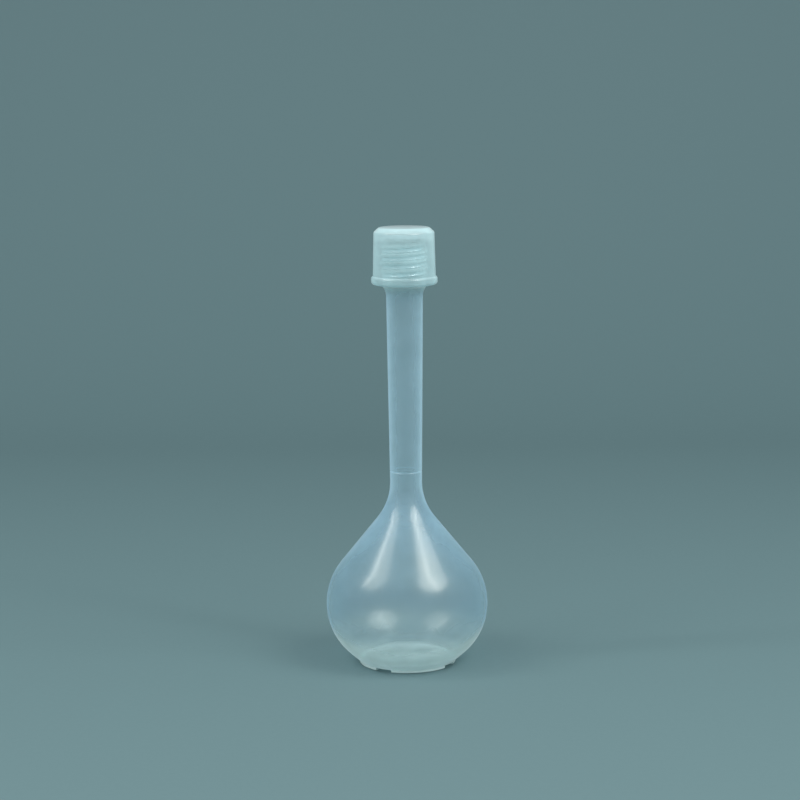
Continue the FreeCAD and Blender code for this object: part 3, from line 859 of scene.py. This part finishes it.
class FLASK_OT_make_cap(bpy.types.Operator):
    """Model the screw cap: bevelled top, tapered side, flange and threaded bore"""

    bl_idname = "flask.make_cap"
    bl_label = "Make Cap"

    def execute(self, context):
        size, thread = context.scene.flask_cap, context.scene.flask_thread
        profile = cap_profile(size)
        cap = turn_profile("cap_shell", profile)
        top_edge, bevel_foot, _, flange_edge = profile[:4]
        round_rings(cap, [top_edge, bevel_foot, flange_edge], size.edge_round)
        crest = size.bore_radius - thread.depth
        start = thread.front_height - thread.cap_drop - thread.pitch / 2
        fade = (size.bore_radius + size.edge_round) / crest
        ridge = wind_ridge("bore_ridge", size.bore_radius, crest, start, thread, fade)
        apply_boolean(cap, ridge, "UNION")
        plate_foot = size.top_height - size.plate

        def is_inside(face):
            centre = face.calc_center_median()
            is_within = centre.xy.length < size.bore_radius + size.lead
            return is_within and centre.z < plate_foot + size.edge_round

        dress(cap, *cap_materials(size, thread, context.scene.flask_finishes), is_inside)
        finish_piece(cap, "cap", "screw_cap")
        return {"FINISHED"}


class FLASK_OT_make_disc(bpy.types.Operator):
    """Model the sealing disc that lies in the cap on the flask's rim"""

    bl_idname = "flask.make_disc"
    bl_label = "Make Sealing Disc"

    def execute(self, context):
        edge_round = DISC_ROUNDING * (DISC_TOP.z - DISC_FOOT.z)
        profile = [(DISC_TOP.x, DISC_FOOT.z), (DISC_TOP.x, DISC_TOP.z)]
        disc = turn_profile("disc_sheet", profile)
        round_rings(disc, profile, edge_round)
        disc.data.materials.append(disc_material(context.scene.flask_finishes))
        finish_piece(disc, "seal", "sealing_disc")
        return {"FINISHED"}


# Stage

Lamp = collections.namedtuple("Lamp", "name azimuth elevation size power is_mirrored")
LAMPS = (
    Lamp("right_softbox", 54.0, 47.0, (0.78, 0.62), 5.0, True),
    Lamp("right_strip", 53.0, 47.0, (0.12, 0.62), 1.0, True),
    Lamp("left_softbox", -66.0, 46.0, (0.54, 0.64), 2.0, True),
    Lamp("left_strip", -78.0, 46.0, (0.03, 0.66), 1.0, True),
    Lamp("left_fill", -45.0, 40.0, (0.90, 0.90), 2.2, False),
)
LAMP_DISTANCE = 1.0
LAMP_COLOUR = (0.97, 1.0, 0.98)
LAMP_AIM = Vector((0.0, 0.0, 0.05))
WORLD_COLOUR = (0.9, 0.96, 1.0)
WORLD_LEVEL = 0.60
ROOM_LEVEL = 0.15


def lay_floor(stage):
    """A floor that sweeps up into a backdrop."""
    bpy.ops.object.select_all(action="DESELECT")
    depth = stage.floor_front + stage.floor_back + stage.sweep_radius
    middle = (stage.floor_back + stage.sweep_radius - stage.floor_front) / 2
    bpy.ops.mesh.primitive_plane_add(size=1, location=(0, middle, -stage.floor_gap), enter_editmode=True)
    floor = bpy.context.object
    floor.name = "floor_sweep"
    bpy.ops.transform.resize(value=(2 * stage.floor_front, depth, 1))
    pick("EDGE", lambda edge: all(point.co.y > 0 for point in edge.verts))
    bpy.ops.mesh.extrude_edges_move(TRANSFORM_OT_translate={"value": (0, 0, stage.backdrop_height)})
    pick("EDGE", lambda edge: all(point.co.y > 0 and point.co.z == 0 for point in edge.verts))
    bpy.ops.mesh.bevel(offset=stage.sweep_radius, segments=SWEEP_SEGMENTS, affect="EDGES")
    leave_edit_mode()
    recipe = Recipe(bpy.data.materials.new("floor_paper"))
    place = recipe.node("ShaderNodeTexCoord", {}, {}, "Object")
    fibre = mottle(recipe, place, FIBRE_SIZE)
    floor.data.materials.append(recipe.finish(recipe.node(
        "ShaderNodeBsdfPrincipled", {},
        {"Base Color": opaque(stage.floor_colour), "Roughness": PAPER_ROUGHNESS + FIBRE_SHARE * fibre})))
    shade_smooth(floor)


def hang_lamp(scene, lamp):
    """A softbox that faces the flask, and that may be left out of reflections."""
    turn, rise = math.radians(lamp.azimuth), math.radians(lamp.elevation)
    way = Vector((math.sin(turn) * math.cos(rise), -math.cos(turn) * math.cos(rise), math.sin(rise)))
    light = bpy.data.lights.new(lamp.name, "AREA")
    light.shape = "ELLIPSE"
    light.size, light.size_y = lamp.size
    light.energy = lamp.power
    light.color = LAMP_COLOUR
    holder = bpy.data.objects.new(lamp.name, light)
    scene.collection.objects.link(holder)
    holder.location = LAMP_AIM + way * LAMP_DISTANCE
    holder.rotation_euler = way.to_track_quat("Z", "Y").to_euler()
    holder.visible_glossy = lamp.is_mirrored


def light_world(scene):
    """Even light from all round, from a room that looks dim in reflections."""
    recipe = Recipe(bpy.data.worlds.new("studio"))
    tint = opaque(WORLD_COLOUR)
    light = recipe.node("ShaderNodeBackground", {}, {"Color": tint, "Strength": WORLD_LEVEL})
    dim = recipe.node("ShaderNodeBackground", {}, {"Color": tint, "Strength": ROOM_LEVEL})
    is_mirrored = recipe.node("ShaderNodeLightPath", {}, {}, "Is Glossy Ray")
    seen = recipe.node("ShaderNodeMixShader", {}, {0: is_mirrored, 1: light, 2: dim})
    scene.world = recipe.finish(seen, "ShaderNodeOutputWorld")


def place_camera(scene, stage):
    """A camera at the photograph's viewing angle."""
    lens = bpy.data.cameras.new("camera")
    lens.lens = stage.camera_lens
    holder = bpy.data.objects.new("camera", lens)
    scene.collection.objects.link(holder)
    aim = Matrix.Rotation(QUARTER_TURN - stage.camera_pitch, 4, "X")
    roll = Matrix.Rotation(stage.camera_roll, 4, "Z")
    place = Matrix.Translation((-stage.camera_offset, -stage.camera_distance, stage.camera_height))
    holder.matrix_world = place @ aim @ roll
    scene.camera = holder


class FLASK_OT_set_stage(bpy.types.Operator):
    """Lay the floor and backdrop, and set the lamps and the camera"""

    bl_idname = "flask.set_stage"
    bl_label = "Set Stage"

    def execute(self, context):
        stage = context.scene.flask_stage
        lay_floor(stage)
        for lamp in LAMPS:
            hang_lamp(context.scene, lamp)
        light_world(context.scene)
        place_camera(context.scene, stage)
        context.scene.view_settings.view_transform = "Standard"
        return {"FINISHED"}


# Sidebar and registration

class FLASK_PT_sidebar(bpy.types.Panel):
    """The flask's sizes, finishes and operators"""

    bl_idname = "FLASK_PT_sidebar"
    bl_label = "Volumetric Flask"
    bl_space_type = "VIEW_3D"
    bl_region_type = "UI"
    bl_category = "Flask"

    def draw(self, context):
        for operator, group in STEPS:
            box = self.layout.box()
            box.operator(operator.bl_idname)
            for owner in group:
                settings = getattr(context.scene, owner)
                for name in settings.__annotations__:
                    box.prop(settings, name)


GROUPS = {
    "flask_vessel": FlaskVesselSizes,
    "flask_cap": FlaskCapSizes,
    "flask_thread": FlaskThreadSizes,
    "flask_finishes": FlaskFinishes,
    "flask_stage": FlaskStageSizes,
}
STEPS = (
    (FLASK_OT_make_vessel, ("flask_vessel", "flask_thread", "flask_finishes")),
    (FLASK_OT_make_cap, ("flask_cap",)),
    (FLASK_OT_make_disc, ()),
    (FLASK_OT_set_stage, ("flask_stage",)),
)
CLASSES = (*GROUPS.values(), *(operator for operator, _ in STEPS), FLASK_PT_sidebar)


def register():
    for each in CLASSES:
        bpy.utils.register_class(each)
    for name, group in GROUPS.items():
        setattr(bpy.types.Scene, name, PointerProperty(type=group))


def unregister():
    for name in GROUPS:
        delattr(bpy.types.Scene, name)
    for each in reversed(CLASSES):
        bpy.utils.unregister_class(each)


def main():
    register()
    bpy.ops.flask.make_vessel()
    bpy.ops.flask.make_cap()
    bpy.ops.flask.make_disc()
    bpy.ops.flask.set_stage()


if __name__ == "__main__":
    main()
